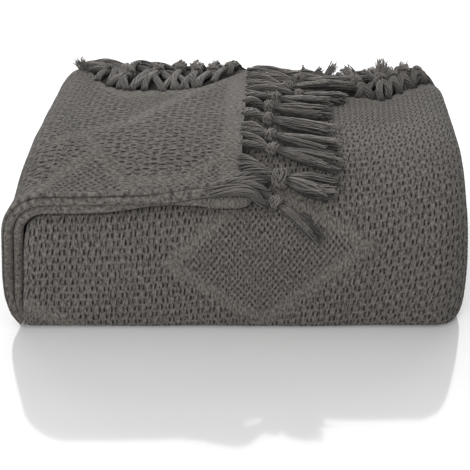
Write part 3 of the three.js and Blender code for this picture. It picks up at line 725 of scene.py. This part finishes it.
# The fringe
class Yarns:
    """Thin tubes gathered into one mesh."""

    def __init__(self, seed, ground):
        self.points, self.faces, self.ends, self.tones_and_shading = [], [], [], []
        self.count = 0
        self.ground = ground
        self.random = np.random.default_rng(seed)

    def tube(self, path, radius, tone_and_shading):
        """One yarn along a path, with painted shade where it lies low."""
        aside, above = path_sides(path, YARN_LEAN)
        turn = 2 * math.pi * np.arange(TUBE_SIDES)[:, None] / TUBE_SIDES
        ring = np.cos(turn) * aside[:, None] + np.sin(turn) * above[:, None]
        points = (path[:, None] + radius * ring).reshape(-1, 3)
        height = points[:, 2] - self.ground(points[:, 0], points[:, 1])
        tone_and_shading = np.broadcast_to(tone_and_shading, (len(path), TUBE_SIDES)).reshape(-1)
        index = self.count + np.arange(len(points)).reshape(-1, TUBE_SIDES)
        self.points.append(points)
        self.tones_and_shading.append(tone_and_shading * (GROUND_SHADE + (1 - GROUND_SHADE) * ease(*SHADE_HEIGHTS, height)))
        self.faces.append(ring_faces(index))
        self.ends += [index[0][::-1].tolist(), index[-1].tolist()]
        self.count += len(points)

    def bundle(self, path, yarns, radius, twist, shaded_ends=0.0, yarn=YARN, underside=UNDERSIDE):
        """Yarns twisted into a round bundle, with painted shade on its underside, in its inner yarns and at
        its hidden ends.
        """
        aside, above = path_sides(path, ROPE_LEAN)
        share = lengths(path)[:, None] / max(lengths(path)[-1], 1)
        own = max(self.random.uniform(0.7, 1.12), underside)
        fade = own * (1 - shaded_ends * (1 - np.sin(math.pi * share) ** 0.6))
        for k in range(yarns):
            # every third yarn lies deeper in the bundle and gets painted shade
            deep = k % 3 == 0
            reach = radius * (0.55 if deep else 1.0) * self.random.uniform(0.86, 1.08)
            turn = 2 * math.pi * (k / yarns + twist * share) + self.random.uniform(-0.15, 0.15)
            lit = (underside + (1 - underside) * ease(-0.9, 0.5, np.sin(turn))) * fade
            tone_and_shading = (0.3 * self.random.uniform(0, 1) + (0 if deep else 0.7)) * lit
            self.tube(path + reach * (np.cos(turn) * aside + np.sin(turn) * above), yarn, tone_and_shading)

    def build(self, name):
        """The yarns as one object."""
        mesh = bpy.data.meshes.new(name)
        points = (np.concatenate(self.points) - CENTRE) * MM
        mesh.from_pydata(points.tolist(), [], np.concatenate(self.faces).tolist() + self.ends)
        # Each point keeps its yarn's random tone together with its painted light and shade
        layer = mesh.attributes.new("yarn_tone_and_shading", "FLOAT", "POINT")
        layer.data.foreach_set("value", np.concatenate(self.tones_and_shading))
        return finish_mesh(mesh, name, 180)


def arc(start, stop, lift, sway):
    """A path between two points that rises and sways to the side."""
    share = np.linspace(0, 1, 10)[:, None]
    aside = unit(np.cross(stop - start, (0, 0, 1))) * sway
    return start + (stop - start) * share + (np.array([0, 0, lift]) + aside) * np.sin(math.pi * share)


def add_knot(yarns, centre, way, size):
    """A tight knot: a thick core with turns of yarn wound slantwise over it."""
    aside = unit(np.cross(way, (0, 0, 1)))
    above = np.cross(aside, way)
    radius = KNOT * size
    core = centre + way * np.linspace(-0.9, 0.9, 8)[:, None] * radius
    yarns.bundle(core, 10, 2.9 * size, twist=0.3, shaded_ends=0.9)
    turn = np.linspace(0, 2 * math.pi, 19)[:, None]
    spin = yarns.random.uniform(0, 2 * math.pi)
    for place, slant, wide in TURNS:
        ring = wide * (np.cos(turn) * aside + np.sin(turn) * above)
        along = (place + slant * np.sin(turn + spin)) * way
        yarns.bundle(centre + radius * (ring + along), 8, 1.8 * size, twist=1.2, underside=1.0)


def add_tail(yarns, knot, end, size, flare, ground, droop):
    """The frayed tail of a tassel: locks of crimped yarns that come to lie on the cloth."""
    way = unit(end - knot)
    aside = unit(np.cross(way, (0, 0, 1)))
    share = np.linspace(0, 1, 16)
    reach = np.linalg.norm(end - knot)
    middle = knot + way * (reach * share)[:, None]
    rest = ground(middle[:, 0], middle[:, 1]) + TAIL_REST * size
    middle[:, 2] += (rest - middle[:, 2]) * ease(0, 0.45, share) - droop * share**2
    gains = TAIL_MIDDLE * np.clip(share / 0.5, 0, 1) ** 0.7 + TAIL_END * share**3
    spread = (TAIL_START + flare * gains) * size
    draw = yarns.random.uniform
    first = draw(0, 2 * math.pi)
    sway = draw(-0.9, 0.9, LOCKS)
    for number in range(TAIL_YARNS):
        lock = number % LOCKS
        turn = first + 2 * math.pi * lock / LOCKS + sway[lock] * share
        angle = draw(0, 2 * math.pi)
        off = LOCK_RADIUS * math.sqrt(draw(0, 1))
        stray = 2.4 if draw(0, 1) > 0.93 else 1
        wave = np.sin(share * draw(12, 32) / stray + 3 * angle)
        crimp = draw(0.4, 1.4) * stray * wave * share**0.4
        beside = LOCK_PLACE * np.cos(turn) + off * math.cos(angle)
        over = LOCK_PLACE * np.sin(turn) + off * math.sin(angle)
        across = spread * beside * TAIL_WIDTH + crimp
        above = spread * over * TAIL_HEIGHT + 0.6 * crimp
        longer = 0.09 * yarns.random.standard_normal() - 0.1 * off + 0.06 * sway[lock]
        path = middle + across[:, None] * aside + way * (reach * longer * share)[:, None]
        path[:, 2] = np.maximum(path[:, 2] + above, ground(path[:, 0], path[:, 1]) + YARN)
        # Painted light on the upper yarns and painted shade on the lower and inner ones, painted shade near
        # the knot and painted light at the tips, times a random tone
        light = (0.3 + 0.7 * ease(-0.7, 0.6, over)) * (0.2 + 0.8 * ease(-0.22, 0.3, off * math.sin(angle)))
        fade = 0.3 + 0.7 * ease(0.04, 0.24, share) + 0.2 * ease(0.85, 1, share)
        tone_and_shading = light * fade * (0.55 + 0.65 * draw(0, 1))
        yarns.tube(path, YARN * draw(0.8, 1.1), tone_and_shading[:, None])


def add_tuft(yarns, start, end, radius, count):
    """A frayed brush of yarn ends that stands up between the ropes."""
    start, end = np.array(start, float), np.array(end, float)
    way = unit(end - start)
    aside = unit(np.cross(way, (0.3, 0.2, 1)))
    above = np.cross(aside, way)
    share = np.linspace(0, 1, 8)
    draw = yarns.random.uniform
    for _ in range(count):
        angle, off = draw(0, 2 * math.pi), math.sqrt(draw(0, 1))
        spread = radius * off * (0.35 + 0.9 * share)
        crimp = draw(0.3, 1.2) * np.sin(share * draw(4, 12) + angle) * share
        reach = np.linalg.norm(end - start) * (1 - 0.3 * draw(0, 1) ** 2)
        path = start + way * (reach * share)[:, None]
        path += (spread * math.cos(angle) + crimp)[:, None] * aside
        path += (spread * math.sin(angle) + crimp)[:, None] * above
        # Painted shade towards the tuft's middle and its root, with a random tone
        tone_and_shading = (0.1 + 0.5 * off + 0.3 * draw(0, 1)) * (0.35 + 0.65 * share)
        yarns.tube(path, YARN * draw(0.7, 1), tone_and_shading[:, None])


def add_tassel(yarns, row, hem_at, ground, droop):
    """Two legs from the hem, a knot and a frayed tail, from one row of a table."""
    root, knot_x, knot_y, end_x, end_y, size, flare = row
    knot = np.array([knot_x, knot_y, float(ground(knot_x, knot_y)) + KNOT * size + KNOT_LIFT])
    end = np.array([end_x, end_y, float(ground(end_x, end_y)) + 6 * size])
    way = unit(end - knot)
    neck = NECK * size * way
    for side in (-1, 1):
        start = hem_at(root + side * yarns.random.uniform(3, 11))
        stop = knot - neck + np.array([0, 0, -2.5])
        leg = arc(start, stop, yarns.random.uniform(1, 6), side * yarns.random.uniform(-5, 5))
        yarns.bundle(leg, LEG_YARNS, LEG_RADIUS * size, twist=0.6, shaded_ends=0.6, yarn=LEG_YARN)
    add_knot(yarns, knot, way, size)
    add_tail(yarns, knot + neck, end, size, flare, ground, droop)


def top_layer_z(x, y):
    """Height of the middle of the strip's top layer."""
    return strip_floor(x, y) + strip_layer(3, y, x)


def side_hem(y):
    """Start of a leg on the strip's end."""
    x = STRIP_END + STRIP_SLANT * y
    return np.array([x - HEM_OVERLAP, y, float(top_layer_z(x, y))])


def back_left_hem(x):
    """Start of a leg on the back of the strip."""
    y = float(column(STRIP_HEM, x))
    return np.array([x, y - HEM_OVERLAP, float(top_layer_z(x, y))])


def back_right_hem(x):
    """Start of a leg on the back of the body."""
    y = float(column(TOP_HEM, x))
    return np.array([x * (1 + RIGHT_FLARE * DEPTH / RIGHT_X), y - HEM_OVERLAP, HEIGHT - THICK / 2])


def on_body(x, y):
    """What the side fringe lies on: the body's top, falling away in front of it."""
    return body_top(x, np.maximum(y, FRONT_EDGE)) - FRONT_FALL * np.maximum(FRONT_EDGE - y, 0)


def on_strip(x, y):
    """What the back-left fringe lies on: the strip's lower layers, falling away behind."""
    lower_layers = THICK + 2 * TOP_STEP
    return strip_floor(x, np.minimum(y, DEPTH)) + lower_layers - BACK_FALL * np.maximum(y - STRIP_BACK, 0)


def on_back(x, y):
    """What the back-right fringe lies on: the body's top, falling away behind."""
    top = body_top(np.minimum(x, RIGHT_X), np.minimum(y, DEPTH))
    return top + BACK_LIFT - BACK_FALL * np.maximum(y - DEPTH, 0)


def make_fringe(name, node, rows, ropes, tufts, hem_at, ground, droop, seed):
    """One run of fringe as one piece: its tassels, its ropes and its tufts."""
    yarns = Yarns(seed, ground)
    for row in rows:
        add_tassel(yarns, row, hem_at, ground, droop)
    for radius, *points in ropes:
        path = smooth(points, 4.0)
        yarns.bundle(path, round(ROPE_YARNS * radius), radius, twist=0.5, shaded_ends=0.65)
    for tuft in tufts:
        add_tuft(yarns, *tuft)
    obj = yarns.build(name)
    obj.data.materials.append(yarn_material)
    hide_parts(node)
    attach(obj, "root")
    return obj


# Materials
class Number:
    """A number in a material, with the usual signs of sums."""

    def __init__(self, nodes, socket):
        self.nodes, self.socket = nodes, socket

    def __add__(self, other):
        return self.nodes.math("ADD", self, other)

    def __sub__(self, other):
        return self.nodes.math("SUBTRACT", self, other)

    def __rsub__(self, other):
        return self.nodes.math("SUBTRACT", other, self)

    def __mul__(self, other):
        return self.nodes.math("MULTIPLY", self, other)

    def __truediv__(self, other):
        return self.nodes.math("DIVIDE", self, other)

    def __mod__(self, other):
        return self.nodes.math("MODULO", self, other)

    def __abs__(self):
        return self.nodes.math("ABSOLUTE", self)


class Nodes:
    """Short ways to add shader nodes to a material."""

    def __init__(self, name):
        self.material = bpy.data.materials.new(name)
        self.material.use_nodes = True
        self.tree = self.material.node_tree
        self.shader = self.tree.nodes["Principled BSDF"]

    def put(self, socket, value):
        """Link something to a socket, or give it a value."""
        if isinstance(value, Number):
            value = value.socket
        if isinstance(value, bpy.types.NodeSocket):
            self.tree.links.new(value, socket)
        else:
            socket.default_value = value

    def add(self, kind, inputs=None, **settings):
        """A node with its settings and inputs."""
        node = self.tree.nodes.new(kind)
        for key, value in settings.items():
            setattr(node, key, value)
        for key, value in (inputs or {}).items():
            self.put(node.inputs[key], value)
        return node

    def math(self, operation, *values, clamp=False):
        """A number made of others."""
        node = self.add("ShaderNodeMath", dict(enumerate(values)), operation=operation, use_clamp=clamp)
        return Number(self, node.outputs[0])

    def vector(self, operation, inputs):
        """A sum of vectors."""
        return self.add("ShaderNodeVectorMath", inputs, operation=operation).outputs[0]

    def step(self, value, low, high):
        """0 at one value, 1 at another, and a soft step between them."""
        inputs = {"Value": value, "From Min": low, "From Max": high}
        node = self.add("ShaderNodeMapRange", inputs, interpolation_type="SMOOTHSTEP")
        return Number(self, node.outputs["Result"])

    def colours(self, share, dark, light):
        """A dark colour that passes into a light one."""
        inputs = {"Factor": share, "A": (*dark, 1.0), "B": (*light, 1.0)}
        return self.add("ShaderNodeMix", inputs, data_type="RGBA").outputs["Result"]

    def noise(self, place, scale, detail=2.0):
        """Soft noise with this many cells a metre."""
        node = self.add("ShaderNodeTexNoise", {"Vector": place, "Scale": scale, "Detail": detail})
        return Number(self, node.outputs["Fac"])

    def stored(self, name):
        """A number that the mesh keeps at its points."""
        return Number(self, self.add("ShaderNodeAttribute", attribute_name=name).outputs["Fac"])

    def relief(self, height, distance, strength):
        """The surface's direction with a relief in millimetres."""
        inputs = {"Height": height, "Distance": distance * MM, "Strength": strength}
        return self.add("ShaderNodeBump", inputs).outputs["Normal"]

    def finish(self, inputs):
        """The material, with these inputs on its shader."""
        for key, value in inputs.items():
            self.put(self.shader.inputs[key], value)
        return self.material


def waffle(nodes, u, v, slot_place, slot_width, slot_depth):
    """Height of the weave: raised pillows between narrow slots, half-dropped from row to row; it also sets
    the colour, as painted shade in the slots and painted highlight on the raised parts.
    """
    row = v * 2.0
    up = nodes.math("FRACT", row) - 0.5
    across = u + nodes.math("FLOOR", row) % 2.0 * 0.5 - up * 0.06
    off = abs(abs(nodes.math("FRACT", across) - 0.5) - slot_place)
    up = abs(up)
    slot = nodes.step(off, slot_width, slot_width * 0.35) * nodes.step(up, 0.38, 0.22)
    pillow = nodes.step(off, 0.0, 0.17) * nodes.step(up, 0.5, 0.36)
    # A lip beside each slot: a raised ridge in the relief and a painted highlight in the colour
    lip = nodes.step(abs(off - (slot_width + 0.03)), 0.05, 0.0) * nodes.step(up, 0.5, 0.4)
    thread = nodes.step(up, 0.4, 0.47)
    return pillow * 0.2 + lip * 0.25 + thread * 0.22 - slot * slot_depth + 0.62


def cloth_shader():
    """Waffle cotton: the weave in relief, and in colour with painted shade and highlight, with threads, fuzz
    and patches.
    """
    nodes = Nodes("waffle_cloth")
    place = nodes.add("ShaderNodeUVMap", uv_map="weave").outputs["UV"]
    wobble = nodes.add("ShaderNodeTexNoise", {"Vector": place, "Scale": 90.0, "Detail": 2.0}).outputs["Color"]
    wobble = nodes.vector("SUBTRACT", {0: wobble, 1: (0.5, 0.5, 0.5)})
    wobble = nodes.vector("SCALE", {0: wobble, "Scale": 2.2 * MM})
    moved = nodes.add("ShaderNodeSeparateXYZ", {0: nodes.vector("ADD", {0: place, 1: wobble})}).outputs
    across = Number(nodes, moved["X"]) / (CELL_ACROSS * MM)
    along = Number(nodes, moved["Y"]) / (CELL_ALONG * MM)
    coarse = waffle(nodes, across, along, *COARSE_SLOTS)
    fine = waffle(nodes, across * 2.0, along * 2.0, *FINE_SLOTS)
    is_fine, is_plain = nodes.stored("fine"), nodes.stored("plain")
    cells = coarse * (1.0 - is_fine) + fine * is_fine
    height = cells * (1.0 - is_plain) + is_plain * PLAIN_HEIGHT
    threads = nodes.noise(nodes.vector("MULTIPLY", {0: place, 1: (1.0, 0.42, 1.0)}), 520.0)
    grain = threads * 0.75 + nodes.noise(place, 900.0) * 0.35 - 0.55
    patch = nodes.noise(place, 22.0, detail=3.0) - 0.5
    # The weave's height also sets the colour: painted shade in the slots, painted highlight on the pillows,
    # lips and threads
    tone_and_shading = nodes.math("ADD", grain * 2.6 + height * 0.6 + 0.1, patch * 0.25, clamp=True)
    # the mesh's painted shade darkens the colour
    tone_and_shading = tone_and_shading * (1.0 - nodes.stored("shade"))
    return nodes.finish({
        "Base Color": nodes.colours(tone_and_shading, SLOT_SHADE_AND_DARK_GRAIN, LIGHT_CLOTH),
        "Normal": nodes.relief(grain * 1.3 + height, 2.0, 1.0),
        "Roughness": 0.93,
        "Sheen Weight": 0.1,
        "Sheen Roughness": 0.5,
        "Specular IOR Level": 0.2,
    })


def yarn_shader():
    """Plied cotton yarn, light or dark by each yarn's tone and its painted light and shade."""
    nodes = Nodes("cotton_yarn")
    place = nodes.add("ShaderNodeTexCoord").outputs["Object"]
    fibre = nodes.noise(place, 1400.0)
    uneven = fibre * 0.35 + nodes.noise(place, 70.0) * 0.25 - 0.2
    tone_and_shading = nodes.math("ADD", nodes.stored("yarn_tone_and_shading") * 0.85, uneven, clamp=True)
    return nodes.finish({
        "Base Color": nodes.colours(tone_and_shading, SHADED_YARN, LIGHT_YARN),
        "Normal": nodes.relief(fibre, 0.6, 0.6),
        "Roughness": 0.9,
        "Sheen Weight": 0.25,
        "Specular IOR Level": 0.2,
    })


def floor_shader():
    """The glossy floor, a little cloudy."""
    nodes = Nodes("pale_floor")
    cloud = nodes.noise(nodes.add("ShaderNodeTexCoord").outputs["Object"], 3.0)
    colour = nodes.colours(cloud, DARK_FLOOR, LIGHT_FLOOR)
    return nodes.finish({"Base Color": colour, "Roughness": 0.08, "IOR": 2.0})


# Stage and camera, in metres
def add_area(name, place, aim, size, power, mirrored=False):
    """A soft light; only a mirrored one is seen in the floor's gloss."""
    light = bpy.data.lights.new(name, "AREA")
    light.shape = "RECTANGLE"
    light.size, light.size_y = size
    light.energy = power
    obj = add_object(name, light)
    obj.location = place
    direction = np.array(aim, float) - np.array(place, float)
    yaw = math.atan2(direction[0], -direction[1])
    pitch = math.atan2(math.hypot(direction[0], direction[1]), -direction[2])
    obj.rotation_euler = (pitch, 0, yaw + math.pi)
    obj.visible_glossy = mirrored


def make_stage():
    """The floor, the world's even light and three soft lights."""
    corners = [(x * FLOOR_HALF, y * FLOOR_HALF, 0) for x, y in ((-1, -1), (1, -1), (1, 1), (-1, 1))]
    floor_mesh = bpy.data.meshes.new("floor")
    floor_mesh.from_pydata(corners, [], [(0, 1, 2, 3)])
    floor = add_object("floor", floor_mesh)
    floor.data.materials.append(floor_shader())
    world = bpy.data.worlds.new("studio")
    world.use_nodes = True
    background = world.node_tree.nodes["Background"].inputs
    background["Color"].default_value = (1, 1, 1, 1)
    background["Strength"].default_value = WORLD_LIGHT
    scene.world = world
    scene.view_settings.view_transform = "Standard"
    add_area("top_softbox", (-0.2, -0.1, 2.2), (0, 0, 0.1), (3.0, 2.4), 24)
    add_area("front_softbox", (-0.7, -1.9, 1.1), (0, 0, 0.08), (1.4, 0.9), 29)
    add_area("backdrop", (0, 3.0, 2.2), (0, 0, 2.2), (6.0, 4.4), 160, mirrored=True)


def make_camera():
    """The camera, at the photo's angle."""
    camera = bpy.data.cameras.new("camera")
    camera.lens, camera.sensor_width = LENS, SENSOR
    obj = add_object("camera", camera)
    obj.location = (CAMERA_PLACE - CENTRE) * MM
    obj.rotation_euler = (math.radians(CAMERA_TILT), 0, 0)
    scene.camera = obj


make_camera()
yarn_material = yarn_shader()
cloth = Cloth()
add_wrap(cloth)
add_inner(cloth)
add_strip(cloth)
add_roll_tip(cloth)
bedspread = cloth.build("bedspread")
bedspread.data.materials.append(cloth_shader())
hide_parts("cloth")
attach(bedspread, "root")
fringes = [
    make_fringe(
        "side_fringe", "fringe_side", SIDE_TASSELS, SIDE_ROPES, SIDE_TUFTS,
        side_hem, on_body, droop=0, seed=11,
    ),
    make_fringe(
        "back_left_fringe", "fringe_back_left", BACK_LEFT_TASSELS, BACK_LEFT_ROPES, BACK_LEFT_TUFTS,
        back_left_hem, on_strip, droop=9, seed=23,
    ),
    make_fringe(
        "back_right_fringe", "fringe_back_right", BACK_RIGHT_TASSELS, BACK_RIGHT_ROPES, BACK_RIGHT_TUFTS,
        back_right_hem, on_back, droop=3, seed=37,
    ),
]
make_stage()
